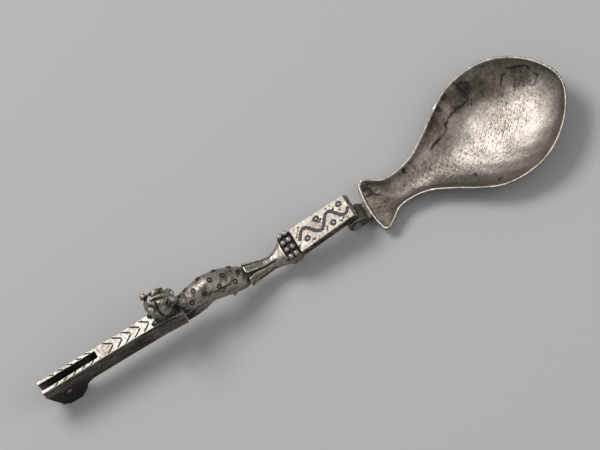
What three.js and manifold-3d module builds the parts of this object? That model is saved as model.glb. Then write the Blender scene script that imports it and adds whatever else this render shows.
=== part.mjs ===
// A folding spoon of cast silver, with black inlay, and a leopard lying along its handle.
// Millimetres, +Z up. +X runs from the tail of the handle to the tip of the bowl.
// The handle is worked out from the hinge pin backwards, and the bowl from the pin forwards.
import * as THREE from "three";
import { mergeVertices } from "three/addons/utils/BufferGeometryUtils.js";
import Module from "manifold-3d";

const wasm = await Module();
wasm.setup();
const degrees = Math.PI / 180;

// Clearances
const seatGap = 0.12; // between two cast pieces that meet
const inlayGap = 0.05; // round a black inlay in its channel
const runningGap = 0.15; // between the turning parts of the hinge

// Front end: the block and the bowl rise together towards the tip
const frontRise = 6 * degrees;
const blockLength = 17.7;
const blockAhead = 2.3; // from the pin to the front end of the block
const blockWidth = 8;
const blockFrontWidth = 7.3;
const blockThickness = 2.5;
const blockBevel = 0.25;
const blockNose = 0.8; // how far the front end slopes back at its top
const pinDrop = 7.2; // from the top of the block down to the pin

// Hinge
const pinRadius = 0.8;
const pinHeadRadius = 1.25;
const pinHeadHeight = 0.35;
const lugThickness = 2;
const lugRadius = 2;
const earThickness = 1.45;
const earRadius = 2.2;
const stopHeight = 1; // how far the fork's stop stands above the pin
const stopLength = 1.5;
const tangUnderBowl = 7.5; // how far the tang runs on under the bowl
const tangEndHeight = 0.8;

// Bowl
const rimDrop = 7.6; // from the top of the block down to the rim of the bowl
const bowlReach = 5.5; // from the pin to the rear edge of the bowl
const bowlLength = 61;
const bowlWidth = 37;
const waistWidth = 9.8;
const fishtailWidth = 17.2;
const bowlDepth = 7;
const waistDepth = 3;
const rearEdgeDepth = 1.8;
const rearEdgeBow = 1; // how far the middle of the rear edge stands out
const bowlWall = 0.75;

// Black inlay on the block
const serpentWidth = 0.72;
const serpentAmplitude = 1.75;
const serpentPeriod = 7.6;
const serpentFirstCrest = -11.8;
const serpentStart = -14.2;
const serpentEnd = 1.25;
const inlayDepth = 0.4;
const ringOuterRadius = 0.84;
const ringInnerRadius = 0.38;
const ringPlaces = [
  [-12.1, -1.5],
  [-7.6, 2],
  [-4.1, -1.9],
  [-0.5, 1.85],
];

// Collar with its two rows of beads
const collarLength = 3.9;
const collarWidth = 8.3;
const collarHeight = 3.8;
const beadRadius = 0.82;
const beadRise = 0.35; // height of a bead's centre over the collar
const beadPitch = 2.3;
const beadRowPitch = 1.65;
const beadsInRow = 4;

// Calyx, from the collar back to the tips of its petals
const flareLength = 4.8;
const cupLength = 7.2;
const waistRadius = 1.95;
const waistHeight = 5.2;
const petalCount = 6;
const petalTipRadius = 3.3;
const petalTipHeight = 6.4;
const petalThickness = 0.55;
const petalNotch = 4.8;

// Leopard, measured from the waist of the calyx backwards
const leopardLength = 26.7; // from the waist to the front end of the rear bar
const leopardLoins = 3.4;
const leopardRibs = 4;
const leopardChest = 3.25;
const backHeight = 15.2; // top of the arched back
const spotOuterRadius = 0.76;
const spotInnerRadius = 0.3;
const spotRows = [
  { angle: 3, places: [21.6, 16.4, 12.9, 8.9] },
  { angle: 42, places: [23.4, 19.4, 15, 10.8] },
  { angle: -42, places: [23.4, 19, 14.3, 10.4] },
];
const teatPlaces = [21, 12.6];
const teatAngle = 128;
const teatRadius = 0.62;
const teatReach = 0.85;

// Leopard's head, turned back over the shoulder to face the bowl
const headBehindBar = 4.3; // from the front end of the rear bar back to the middle of the head
const headHeight = 18.5;
const headLength = 8;
const headWidth = 7;
const muzzleRadius = 2.45;
const earBallRadius = 0.98;
const neckWidth = 5;

// Rear bar
const barLength = 42.7;
const barWidth = 4.1;
const barFrontWidth = 5.9;
const barWidening = 15; // length over which it widens to the front
const barTop = 12;
const barUnderside = 5.3;
const barFrontUnderside = 6;
const soleLength = 3.6;
const soleFromTail = 5;
const slotWidth = 2;
const slotLength = 17.7;
const slotFloorLength = 4; // how far the sloping end of the slot runs
const tailPinFromTail = 6.4;
const tailPinHeight = 6.2;
const tailPinRadius = 0.65;
const chevronPitch = 2.75;
const chevronCount = 5;
const chevronSlant = 2.3;
const grooveWidth = 0.5;
const grooveDepth = 0.28;

// Finishes
const silver = { color: 0xa79f95, metalness: 1, roughness: 0.38 };
const darkSilver = { color: 0x7d766d, metalness: 1, roughness: 0.5 };
const niello = { color: 0x1d1b1c, metalness: 0.4, roughness: 0.45 };

// Places along the handle, from the pin, which stands at x = 0
const blockRear = blockAhead - blockLength;
const collarRear = blockRear - seatGap - collarLength;
const blockBottom = pinDrop - blockThickness;
const rimLevel = pinDrop - rimDrop;

// Solids from three.js geometry
function solid(geometry) {
  const bare = geometry.index ? geometry : geometry.clone();
  bare.deleteAttribute("normal");
  bare.deleteAttribute("uv");
  const merged = mergeVertices(bare, 1e-5);
  return new wasm.Manifold(
    new wasm.Mesh({
      numProp: 3,
      vertProperties: merged.attributes.position.array,
      triVerts: new Uint32Array(merged.index.array),
    }),
  );
}

function geometryOf(body) {
  const made = body.getMesh();
  const geometry = new THREE.BufferGeometry();
  geometry.setAttribute("position", new THREE.BufferAttribute(made.vertProperties, 3));
  geometry.setIndex(new THREE.BufferAttribute(made.triVerts, 1));
  geometry.computeVertexNormals();
  return geometry;
}

function addNode(group, name, body, finish) {
  const node = new THREE.Mesh(geometryOf(body), new THREE.MeshStandardMaterial(finish));
  node.name = name;
  group.add(node);
  return node;
}

// A closed solid through rings of points, each ring with as many points as the others
function loft(rings) {
  const count = rings[0].length;
  const positions = rings.flat().flatMap((p) => [p.x, p.y, p.z]);
  const index = [];
  for (let i = 0; i + 1 < rings.length; i++) {
    for (let j = 0; j < count; j++) {
      const a = i * count + j;
      const b = i * count + ((j + 1) % count);
      index.push(a, b, b + count, a, b + count, a + count);
    }
  }
  closeEnd(positions, index, rings[0], 0, false);
  closeEnd(positions, index, rings.at(-1), (rings.length - 1) * count, true);
  const geometry = new THREE.BufferGeometry();
  geometry.setAttribute("position", new THREE.Float32BufferAttribute(positions, 3));
  geometry.setIndex(index);
  const made = solid(geometry);
  if (made.volume() > 0) return made;
  geometry.setIndex(index.reverse());
  return solid(geometry);
}

function closeEnd(positions, index, ring, first, ahead) {
  const middle = ring.reduce((sum, p) => sum.add(p), new THREE.Vector3());
  middle.divideScalar(ring.length);
  const centre = positions.length / 3;
  positions.push(middle.x, middle.y, middle.z);
  for (let j = 0; j < ring.length; j++) {
    const a = first + j;
    const b = first + ((j + 1) % ring.length);
    if (ahead) index.push(a, b, centre);
    else index.push(b, a, centre);
  }
}

// A ring in the plane x = constant: round at squareness 2, nearer to a rectangle above it
function crossRing(x, centreHeight, halfWidth, halfHeight, squareness = 2, count = 24) {
  const ring = [];
  for (let j = 0; j < count; j++) {
    const turn = (2 * Math.PI * j) / count;
    const side = Math.sin(turn);
    const rise = Math.cos(turn);
    const y = halfWidth * Math.sign(side) * Math.abs(side) ** (2 / squareness);
    const z = halfHeight * Math.sign(rise) * Math.abs(rise) ** (2 / squareness);
    ring.push(new THREE.Vector3(x, y, centreHeight + z));
  }
  return ring;
}

// An outline in the side view, given in x and z, as thick as width across the handle
function sidePrism(outline, width, bevel = 0) {
  const shape = new THREE.Shape(outline.map(([x, z]) => new THREE.Vector2(x, z)));
  const geometry = new THREE.ExtrudeGeometry(shape, {
    depth: width - 2 * bevel,
    bevelEnabled: bevel > 0,
    bevelThickness: bevel,
    bevelSize: bevel,
    bevelOffset: -bevel,
    bevelSegments: 2,
    curveSegments: 6,
  });
  geometry.rotateX(Math.PI / 2);
  geometry.translate(0, width / 2 - bevel, 0);
  return solid(geometry);
}

function box(x0, x1, halfWidth, z0, z1) {
  const geometry = new THREE.BoxGeometry(x1 - x0, 2 * halfWidth, z1 - z0);
  geometry.translate((x0 + x1) / 2, 0, (z0 + z1) / 2);
  return solid(geometry);
}

function crossCylinder(x, z, radius, length, sides = 16) {
  const geometry = new THREE.CylinderGeometry(radius, radius, length, sides);
  return solid(geometry).translate([x, 0, z]);
}

function ellipsoid(centre, radii, tilt = 0) {
  const geometry = new THREE.SphereGeometry(1, 12, 8);
  geometry.scale(...radii);
  geometry.rotateY(tilt);
  geometry.translate(...centre);
  return solid(geometry);
}

function joined(bodies) {
  return bodies.reduce((sum, body) => sum.add(body));
}

// A flat ring with its hole, standing along Z from bottom to top
function tube(outer, inner, bottom, top, sides = 12) {
  const profile = [
    [inner, bottom],
    [outer, bottom],
    [outer, top],
    [inner, top],
    [inner, bottom],
  ];
  const points = profile.map(([r, z]) => new THREE.Vector2(r, z));
  const geometry = new THREE.LatheGeometry(points, sides);
  geometry.rotateX(Math.PI / 2);
  return solid(geometry);
}

// A smooth curve through [station, value, value] rows, read at any station
function profileOf(rows) {
  const curve = new THREE.CatmullRomCurve3(rows.map((row) => new THREE.Vector3(...row)));
  return (station) => {
    let low = 0;
    let high = 1;
    for (let i = 0; i < 30; i++) {
      const middle = (low + high) / 2;
      if (curve.getPoint(middle).x < station) low = middle;
      else high = middle;
    }
    const found = curve.getPoint(low);
    return [found.y, found.z];
  };
}

// Bowl: half its outline, from the rear edge to the tip and just past it
function bowlOutline() {
  const half = bowlWidth / 2;
  const points = [
    [0, fishtailWidth * 0.46],
    [1.4, fishtailWidth / 2],
    [3.9, fishtailWidth * 0.42],
    [6.6, waistWidth * 0.54],
    [9.6, waistWidth / 2],
    [15.3, half * 0.325],
    [21.6, half * 0.532],
    [27.4, half * 0.762],
    [33.2, half * 0.94],
    [40.2, half],
    [46.7, half * 0.946],
    [52.7, half * 0.762],
    [57.6, half * 0.48],
    [60.3, half * 0.2],
    [61, 0],
    [60.3, -half * 0.2],
  ];
  const scale = bowlLength / 61;
  return points.map(([s, w]) => new THREE.Vector3(s * scale, w, 0));
}

function bowlDepthAt(station) {
  const share = station / bowlLength;
  const rise = Math.min(share / 0.6, 1);
  const smooth = rise * rise * (3 - 2 * rise);
  const rear = rearEdgeDepth + (waistDepth - rearEdgeDepth) * Math.min(share / 0.157, 1);
  const full = rear + (bowlDepth - rear) * smooth;
  const towardsTip = Math.max(0, (share - 0.6) / 0.4);
  return full * Math.max(0, 1 - Math.min(towardsTip, 1) ** 2.5) ** 0.6;
}

// The space inside the bowl's back, moved in by inset, closed by a flat top at lid
function bowlForm(inset, lid) {
  const outline = bowlOutline();
  const curve = new THREE.CatmullRomCurve3(outline);
  const segments = outline.length - 1;
  const perSegment = 2;
  const rings = [];
  for (let i = 0; i <= (segments - 1) * perSegment; i++) {
    const t = i / (segments * perSegment);
    const point = curve.getPoint(t);
    const along = curve.getTangent(t);
    const station = point.x + along.y * inset;
    const half = Math.max(point.y - along.x * inset, 0.01);
    rings.push(bowlRing(station, half, inset, lid));
  }
  return loft(rings);
}

function bowlRing(station, half, inset, lid) {
  const across = 12;
  const depth = Math.max(bowlDepthAt(Math.min(station, bowlLength)) - inset, 0.01);
  const bowShare = Math.max(0, 1 - station / (bowlLength * 0.157)) ** 2;
  const lower = [];
  for (let j = 0; j <= across; j++) {
    const share = Math.sin((Math.PI / 2) * ((2 * j) / across - 1));
    const x = station - rearEdgeBow * bowShare * (1 - share * share);
    const fall = (1 - Math.abs(share) ** 2.3) ** 0.72;
    lower.push(new THREE.Vector3(x, half * share, -depth * fall));
  }
  const upper = lower.slice().reverse().map((p) => new THREE.Vector3(p.x, p.y, lid));
  return [...lower, ...upper];
}

function makeBowl() {
  const outer = bowlForm(0, 0.5);
  const inner = bowlForm(bowlWall, 1);
  const rearWall = box(-5, bowlWall - rearEdgeBow * 0.5, fishtailWidth, -5, 5);
  const above = box(-5, bowlLength + 5, bowlWidth, 0, 5);
  return outer.subtract(above).subtract(inner.subtract(rearWall));
}


// Where a point of the sloping front end lies on the whole spoon
const pinHeight = -lowestOf(makeBowl().translate([bowlReach, 0, rimLevel]));
const yAxis = new THREE.Vector3(0, 1, 0);

function lowestOf(body) {
  const turned = body.rotate([0, -frontRise / degrees, 0]);
  return turned.boundingBox().min[2];
}

function fromFront(x, y, z) {
  const point = new THREE.Vector3(x, y, z).applyAxisAngle(yAxis, -frontRise);
  point.z += pinHeight;
  return point;
}

// Hinge: two ears on the bowl's tang, with the block's lug between them
const slotHalf = lugThickness / 2 + runningGap;
const forkHalf = slotHalf + earThickness;
const forkFaceX = lugRadius + runningGap;

function makeTang() {
  const top = rimLevel;
  const outline = [
    [-earRadius, 0],
    ...arcPoints(earRadius, 180, 270),
    [bowlReach + bowlWall, -earRadius],
    [bowlReach + tangUnderBowl, -earRadius - waistDepth * 0.28],
    [bowlReach + tangUnderBowl, top - waistDepth + tangEndHeight],
    [bowlReach - rearEdgeBow - seatGap, top],
    [forkFaceX + stopLength, top],
    [forkFaceX + stopLength * 0.6, stopHeight],
    ...arcPoints(earRadius, 40, 170),
  ];
  const body = sidePrism(outline, 2 * forkHalf, 0.15);
  const slot = box(-earRadius - 2, forkFaceX, slotHalf, -earRadius - 2, earRadius + 2);
  const bowlRoom = bowlForm(-seatGap, 3).translate([bowlReach, 0, rimLevel]);
  const bore = crossCylinder(0, 0, pinRadius + inlayGap, 3 * forkHalf);
  return body.subtract(slot).subtract(bowlRoom).subtract(bore);
}

function arcPoints(radius, from, to) {
  const steps = Math.max(2, Math.round(Math.abs(to - from) / 18));
  const points = [];
  for (let i = 1; i < steps; i++) {
    const turn = (from + ((to - from) * i) / steps) * degrees;
    points.push([radius * Math.cos(turn), radius * Math.sin(turn)]);
  }
  return points;
}

function makePin() {
  const shank = crossCylinder(0, 0, pinRadius, 2 * (forkHalf + inlayGap) + pinHeadHeight);
  const reach = forkHalf + inlayGap + pinHeadHeight / 2;
  const heads = [-1, 1].map((side) => {
    const head = crossCylinder(0, 0, pinHeadRadius, pinHeadHeight);
    return head.translate([0, side * reach, 0]);
  });
  return joined([shank, ...heads]);
}

// Block with its lug and the channels for the inlay
function makeBlock() {
  const nose = blockAhead - blockNose;
  const outline = [
    [blockRear, pinDrop],
    [blockRear, blockBottom],
    [blockAhead, blockBottom],
    [blockAhead, pinDrop - blockThickness * 0.5],
    [nose, pinDrop],
  ];
  const slab = tapered(sidePrism(outline, blockWidth, blockBevel));
  const lugOutline = [
    [-lugRadius, 0],
    ...arcPoints(lugRadius, 180, 360),
    [lugRadius, 0],
    [lugRadius, blockBottom + blockBevel],
    [-lugRadius * 1.9, blockBottom + blockBevel],
    [-lugRadius, blockBottom - lugRadius * 0.9],
  ];
  const lug = sidePrism(lugOutline, lugThickness);
  const bore = crossCylinder(0, 0, pinRadius + inlayGap * 2, 2 * blockWidth);
  const channels = [serpent(inlayGap, 1), ...ringPlaces.map((place) => ringAt(place, inlayGap, 1))];
  return channels.reduce((body, cut) => body.subtract(cut), slab.add(lug).subtract(bore));
}

// Narrows a solid evenly across the handle, from the rear of the block to its front
function tapered(body) {
  return body.warp((p) => {
    const share = (p[0] - blockRear) / blockLength;
    p[1] *= 1 + (blockFrontWidth / blockWidth - 1) * share;
  });
}

function serpent(grow, lift) {
  const steps = 32;
  const start = serpentStart - grow;
  const end = serpentEnd + grow;
  const rings = [];
  for (let i = 0; i <= steps; i++) {
    const x = start + ((end - start) * i) / steps;
    const turn = (2 * Math.PI * (x - serpentFirstCrest)) / serpentPeriod;
    const slope = (-2 * Math.PI * serpentAmplitude * Math.sin(turn)) / serpentPeriod;
    const length = Math.hypot(1, slope);
    const half = serpentWidth / 2 + grow;
    const nx = (-slope / length) * half;
    const ny = half / length;
    const y = serpentAmplitude * Math.cos(turn);
    const top = pinDrop + lift;
    const floor = pinDrop - inlayDepth - grow;
    rings.push([
      new THREE.Vector3(x + nx, y + ny, top),
      new THREE.Vector3(x + nx, y + ny, floor),
      new THREE.Vector3(x - nx, y - ny, floor),
      new THREE.Vector3(x - nx, y - ny, top),
    ]);
  }
  return loft(rings);
}

function ringAt([x, y], grow, lift) {
  const bottom = pinDrop - inlayDepth - grow;
  const body = tube(ringOuterRadius + grow, ringInnerRadius - grow, bottom, pinDrop + lift);
  return body.translate([x, y, 0]);
}

// Collar and beads
const collarTop = pinDrop;

function makeCollar() {
  const bottom = collarTop - collarHeight;
  const rings = [0, 0.2, 0.8, 1].map((share) => {
    const x = collarRear + collarLength * share;
    const inset = share === 0 || share === 1 ? 0.35 : 0;
    const half = collarWidth / 2 - inset;
    const tall = collarHeight / 2 - inset;
    return crossRing(x, bottom + collarHeight / 2, half, tall, 7, 28);
  });
  const body = loft(rings);
  const flat = box(collarRear - 1, blockRear, collarWidth, collarTop - inlayGap, collarTop + 2);
  return body.subtract(flat);
}

function makeBead() {
  const points = [new THREE.Vector2(0, -beadRise)];
  const base = Math.asin(-beadRise / beadRadius);
  const steps = 6;
  for (let i = 0; i <= steps; i++) {
    const turn = base + ((Math.PI / 2 - base) * i) / steps;
    const radius = i === steps ? 0 : beadRadius * Math.cos(turn);
    points.push(new THREE.Vector2(radius, beadRadius * Math.sin(turn)));
  }
  const geometry = new THREE.LatheGeometry(points, 12);
  geometry.rotateX(Math.PI / 2);
  geometry.translate(0, 0, collarTop - inlayGap + beadRise);
  return solid(geometry);
}

// Calyx: waist, flare and cup
const waistX = fromFront(collarRear, 0, 0).x - flareLength;
const petalTipX = waistX - cupLength;

function makeCalyx() {
  const flareEnd = (y, z) => fromFront(collarRear - seatGap, y, z);
  const middle = collarTop - collarHeight / 2;
  const endRing = crossRing(0, middle, collarWidth / 2 - 0.35, collarHeight / 2 - 0.35, 5);
  const front = endRing.map((p) => flareEnd(p.y, p.z));
  const endHeight = flareEnd(0, middle).z;
  const between = (share) => waistHeight + (endHeight - waistHeight) * share;
  const halfEnd = collarWidth / 2;
  const outer = [
    crossRing(petalTipX, petalTipHeight, petalTipRadius, petalTipRadius),
    crossRing(petalTipX + cupLength * 0.33, 5.9, waistRadius * 1.42, waistRadius * 1.42),
    crossRing(petalTipX + cupLength * 0.7, 5.3, waistRadius * 1.13, waistRadius * 1.13),
    crossRing(waistX, waistHeight, waistRadius, waistRadius),
    crossRing(waistX + flareLength * 0.4, between(0.25), halfEnd * 0.6, waistRadius, 2.3),
    crossRing(waistX + flareLength * 0.75, between(0.65), halfEnd * 0.8, waistRadius, 2.8),
    front,
  ];
  const hollow = [
    crossRing(petalTipX - 1, petalTipHeight + 0.2, petalTipRadius, petalTipRadius),
    crossRing(petalTipX, petalTipHeight, petalTipRadius - petalThickness, petalTipRadius - petalThickness),
    crossRing(petalTipX + cupLength * 0.33, 5.9, waistRadius * 1.42 - petalThickness, waistRadius * 1.42 - petalThickness),
    crossRing(petalTipX + cupLength * 0.72, 5.3, waistRadius * 0.8, waistRadius * 0.8),
  ];
  const notches = [];
  for (let i = 0; i < petalCount; i++) notches.push(notch(i));
  return notches.reduce((body, cut) => body.subtract(cut), loft(outer).subtract(loft(hollow)));
}

function notch(index) {
  const half = (Math.PI * petalTipRadius) / petalCount;
  const outline = [
    [petalTipX - 1, -half * 1.05],
    [petalTipX + petalNotch * 0.12, -half * 0.4],
    [petalTipX + petalNotch * 0.5, -half * 0.14],
    [petalTipX + petalNotch, 0],
    [petalTipX + petalNotch * 0.5, half * 0.14],
    [petalTipX + petalNotch * 0.12, half * 0.4],
    [petalTipX - 1, half * 1.05],
  ];
  const shape = new THREE.Shape(outline.map(([x, y]) => new THREE.Vector2(x, y)));
  const depth = 2 * petalTipRadius;
  const geometry = new THREE.ExtrudeGeometry(shape, { depth, bevelEnabled: false });
  geometry.translate(0, 0, 0.2);
  geometry.rotateX(((index + 0.5) * 2 * Math.PI) / petalCount);
  geometry.translate(0, 0, petalTipHeight - 0.4);
  return solid(geometry);
}

// Leopard's body: rows of place behind the waist, height of the middle, radius
const barFrontX = waistX - leopardLength;
const leopardAt = profileOf([
  [-leopardLength, (barTop + barFrontUnderside) / 2 + 0.35, leopardChest],
  [-leopardLength + 2.2, 10.1, leopardChest * 1.05],
  [-20.5, backHeight - leopardRibs - 0.3, leopardRibs * 0.975],
  [-17.4, backHeight - leopardRibs, leopardRibs],
  [-12.6, backHeight - leopardRibs - 1.9, leopardRibs * 1.02],
  [-8.7, 7.2, leopardLoins],
  [-6.6, 6.3, leopardLoins * 0.68],
  [-4.4, 5.8, leopardLoins * 0.5],
  [-2.6, 5.4, leopardLoins * 0.32],
]);

function makeLeopard() {
  const start = -leopardLength + inlayGap;
  const end = -2.6;
  const steps = 20;
  const rings = [];
  for (let i = 0; i <= steps; i++) {
    const place = start + ((end - start) * i) / steps;
    const [height, radius] = leopardAt(place);
    const square = 2 + 2.5 * Math.max(0, 1 - (place - start) / 5);
    rings.push(crossRing(waistX + place, height, radius * 0.97, radius, square, 24));
  }
  const teats = teatPlaces.flatMap((place) => [teatAt(place, 1), teatAt(place, -1)]);
  const spots = spotPlaces().map((spot) => spotAt(spot, inlayGap, 0.6));
  const body = joined([loft(rings), ...teats]);
  return spots.reduce((left, cut) => left.subtract(cut), body);
}

function leopardSurface(place, angle) {
  const [height, radius] = leopardAt(place);
  const turn = angle * degrees;
  const y = -radius * 0.97 * Math.sin(turn);
  return new THREE.Vector3(waistX + place, y, height + radius * Math.cos(turn));
}

function leopardNormal(place, angle) {
  const step = 0.2;
  const along = leopardSurface(place + step, angle).sub(leopardSurface(place - step, angle));
  const round = leopardSurface(place, angle + 3).sub(leopardSurface(place, angle - 3));
  return round.cross(along).normalize();
}

function teatAt(place, side) {
  const point = leopardSurface(-place, side * teatAngle);
  const normal = leopardNormal(-place, side * teatAngle);
  const geometry = new THREE.SphereGeometry(teatRadius, 8, 6);
  geometry.scale(1, 1, teatReach / teatRadius);
  geometry.applyQuaternion(new THREE.Quaternion().setFromUnitVectors(new THREE.Vector3(0, 0, 1), normal));
  geometry.translate(...point.toArray());
  return solid(geometry);
}

function spotPlaces() {
  return spotRows.flatMap((row) => row.places.map((place) => [-place, row.angle]));
}

function spotAt([place, angle], grow, lift) {
  const point = leopardSurface(place, angle);
  const normal = leopardNormal(place, angle);
  const body = tube(spotOuterRadius + grow, spotInnerRadius - grow, -inlayDepth - grow, lift, 10);
  const turn = new THREE.Quaternion().setFromUnitVectors(new THREE.Vector3(0, 0, 1), normal);
  const matrix = new THREE.Matrix4().compose(point, turn, new THREE.Vector3(1, 1, 1));
  return body.transform(matrix.toArray());
}

// Leopard's head on its neck
const headX = barFrontX - headBehindBar;

function makeHead() {
  const faceX = headX + headLength * 0.42;
  const half = headWidth / 2;
  const neck = loft([
    crossRing(0, 0, neckWidth / 2, headLength * 0.42, 2.6),
    crossRing(1, 0, neckWidth / 2 * 1.1, headLength * 0.4, 2.3),
    crossRing(2, 0, half * 0.95, headLength * 0.44, 2),
  ].map((ring, i) => ring.map((p) => new THREE.Vector3(headX + p.z, p.y, neckBase(i)))));
  const parts = [
    neck,
    ellipsoid([headX - 0.3, 0, headHeight], [headLength * 0.46, half, half * 0.95]),
    ellipsoid([faceX - 1.2, 0, headHeight - 0.7], [muzzleRadius, muzzleRadius, muzzleRadius * 0.85], 0.2),
    ellipsoid([faceX - 1.4, 0, headHeight + 1.2], [2.3, 0.8, 1], 0.45),
    ellipsoid([faceX - 1.2, 0, headHeight - 2.9], [1.9, muzzleRadius * 0.75, 0.9], 0.15),
  ];
  for (const side of [-1, 1]) {
    parts.push(ellipsoid([faceX, side * 1.15, headHeight - 0.6], [1.35, 1.3, 1.3]));
    parts.push(ellipsoid([headX + 1.9, side * half * 0.62, headHeight + 1.3], [0.9, 0.7, 0.7]));
    parts.push(ellipsoid([headX + 1, side * half * 0.6, headHeight + 2.1], [1.6, 0.6, 0.5], 0.3));
    const earBall = [earBallRadius, earBallRadius, earBallRadius];
    parts.push(ellipsoid([headX - headLength * 0.33, side * half * 0.64, headHeight + 2.1], earBall));
  }
  const belowBar = box(headX - headLength, headX + headLength, headWidth, 0, barTop + inlayGap);
  return joined(parts).subtract(belowBar);
}

function neckBase(step) {
  return [barTop + inlayGap, barTop + 2.4, headHeight - 1][step];
}

// Rear bar: hoof, slot and engraved top
const tailX = barFrontX - barLength;

function makeBar() {
  const soleStart = tailX + soleFromTail;
  const soleEnd = soleStart + soleLength;
  const outline = [
    [tailX, barTop],
    [tailX + 0.2, barTop * 0.73],
    [tailX + 1.9, barTop * 0.38],
    [tailX + 3.4, 1.2],
    [soleStart, 0],
    [soleEnd, 0],
    [soleEnd + 1.3, 1.2],
    [soleEnd + 2.3, barUnderside * 0.53],
    [soleEnd + 3.1, barUnderside * 0.83],
    [soleEnd + 5.2, barUnderside],
    [barFrontX - barWidening + 3, barUnderside],
    [barFrontX, barFrontUnderside],
    [barFrontX, barTop],
  ];
  const side = sidePrism(outline, barFrontWidth);
  const body = side.intersect(barPlan());
  const pinBore = crossCylinder(tailX + tailPinFromTail, tailPinHeight, tailPinRadius + inlayGap, 2 * barWidth);
  const cuts = [tailSlot(), pinBore, ...chevrons(), ...cheekMarks()];
  return cuts.reduce((left, cut) => left.subtract(cut), body);
}

function barPlan() {
  const start = barFrontX - barWidening;
  const steps = 6;
  const near = [[tailX - 1, barWidth / 2]];
  for (let i = 0; i <= steps; i++) {
    const share = i / steps;
    const half = barWidth / 2 + ((barFrontWidth - barWidth) / 2) * share * share;
    near.push([start + barWidening * share, half]);
  }
  const far = near.slice().reverse().map(([x, y]) => [x, -y]);
  const shape = new THREE.Shape([...near, ...far].map(([x, y]) => new THREE.Vector2(x, y)));
  const depth = barTop + 2;
  const geometry = new THREE.ExtrudeGeometry(shape, { depth, bevelEnabled: false });
  geometry.translate(0, 0, -1);
  return solid(geometry);
}

function tailSlot() {
  const end = tailX + slotLength;
  const outline = [
    [tailX - 1, -1],
    [end - slotFloorLength, -1],
    [end, barTop + 1],
    [tailX - 1, barTop + 1],
  ];
  return sidePrism(outline, slotWidth);
}

// A V-shaped engraved line on the bar's top, from one point to another
function groove(x0, y0, x1, y1) {
  const length = Math.hypot(x1 - x0, y1 - y0);
  const nx = ((y0 - y1) / length) * (grooveWidth / 2);
  const ny = ((x1 - x0) / length) * (grooveWidth / 2);
  const above = barTop + 0.05;
  const ring = (x, y) => [
    new THREE.Vector3(x + nx, y + ny, above),
    new THREE.Vector3(x, y, barTop - grooveDepth),
    new THREE.Vector3(x - nx, y - ny, above),
  ];
  return loft([ring(x0, y0), ring(x1, y1)]);
}

function chevrons() {
  const first = headX - headLength * 0.42 - 1.4;
  const reach = barWidth / 2 - 0.25;
  const cuts = [];
  for (let i = 0; i < chevronCount; i++) {
    const apex = first - chevronPitch * i;
    for (const side of [-1, 1]) {
      cuts.push(groove(apex, side * 0.12, apex - chevronSlant, side * reach));
    }
  }
  return cuts;
}

function cheekMarks() {
  const first = tailX + slotLength - 1.5;
  const inner = slotWidth / 2 + 0.15;
  const outer = barWidth / 2 - 0.12;
  const count = Math.floor((slotLength - 3) / chevronPitch);
  const cuts = [];
  for (let i = 0; i < count; i++) {
    const x = first - chevronPitch * i;
    for (const side of [-1, 1]) cuts.push(groove(x, side * inner, x - 1.3, side * outer));
  }
  return cuts;
}

// The whole spoon
const root = new THREE.Group();
const front = new THREE.Group();
front.rotation.y = -frontRise;
front.position.z = pinHeight;
root.add(front);

addNode(front, "bowl", makeBowl().translate([bowlReach, 0, rimLevel]), silver);
addNode(front, "bowl_tang", makeTang(), silver);
addNode(front, "hinge_pin", makePin(), darkSilver);
addNode(front, "front_block", makeBlock(), silver);
addNode(front, "serpentine_inlay", serpent(0, 0), niello);
ringPlaces.forEach((place, i) => addNode(front, `ring_inlay_${i + 1}`, ringAt(place, 0, 0), niello));
addNode(front, "bead_collar", makeCollar(), silver);
for (let i = 0; i < 2 * beadsInRow; i++) {
  const bead = addNode(front, `bead_${i + 1}`, makeBead(), silver);
  const row = Math.floor(i / beadsInRow);
  const place = (i % beadsInRow) - (beadsInRow - 1) / 2;
  bead.position.x = collarRear + collarLength / 2 + (row - 0.5) * beadRowPitch;
  bead.position.y = place * beadPitch;
}
addNode(root, "calyx", makeCalyx(), silver);
addNode(root, "leopard_body", makeLeopard(), silver);
spotPlaces().forEach((spot, i) => addNode(root, `spot_inlay_${i + 1}`, spotAt(spot, 0, 0.02), niello));
addNode(root, "leopard_head", makeHead(), silver);
addNode(root, "rear_bar", makeBar(), silver);
const tailPin = crossCylinder(tailX + tailPinFromTail, tailPinHeight, tailPinRadius, barWidth - inlayGap, 12);
addNode(root, "tail_pin", tailPin, darkSilver);

// The origin lies on the table, under the middle of the spoon
root.updateMatrixWorld(true);
const extent = new THREE.Box3().setFromObject(root, true);
root.position.x = -(extent.min.x + extent.max.x) / 2;

export default root;
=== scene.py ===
"""A folding silver spoon: its finish, its smooth bowl and leopard, and the stage it lies on."""

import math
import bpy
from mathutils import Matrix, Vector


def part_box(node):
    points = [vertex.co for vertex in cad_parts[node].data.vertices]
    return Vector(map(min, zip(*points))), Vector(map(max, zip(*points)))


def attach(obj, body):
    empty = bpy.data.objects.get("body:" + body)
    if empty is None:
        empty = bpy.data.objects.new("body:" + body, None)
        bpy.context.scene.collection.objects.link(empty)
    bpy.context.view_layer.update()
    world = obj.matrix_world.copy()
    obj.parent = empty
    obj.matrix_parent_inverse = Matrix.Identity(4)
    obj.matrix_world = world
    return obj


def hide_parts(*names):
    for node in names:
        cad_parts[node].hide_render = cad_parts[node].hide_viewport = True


bl_info = {
    "name": "Folding silver spoon",
    "version": (1, 0, 0),
    "blender": (4, 5, 0),
    "location": "View3D > Sidebar > Spoon",
    "description": "Dresses a folding spoon of old silver with black inlay",
    "category": "Object",
}

import bpy
import numpy as np
from mathutils import Matrix, Vector

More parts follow.
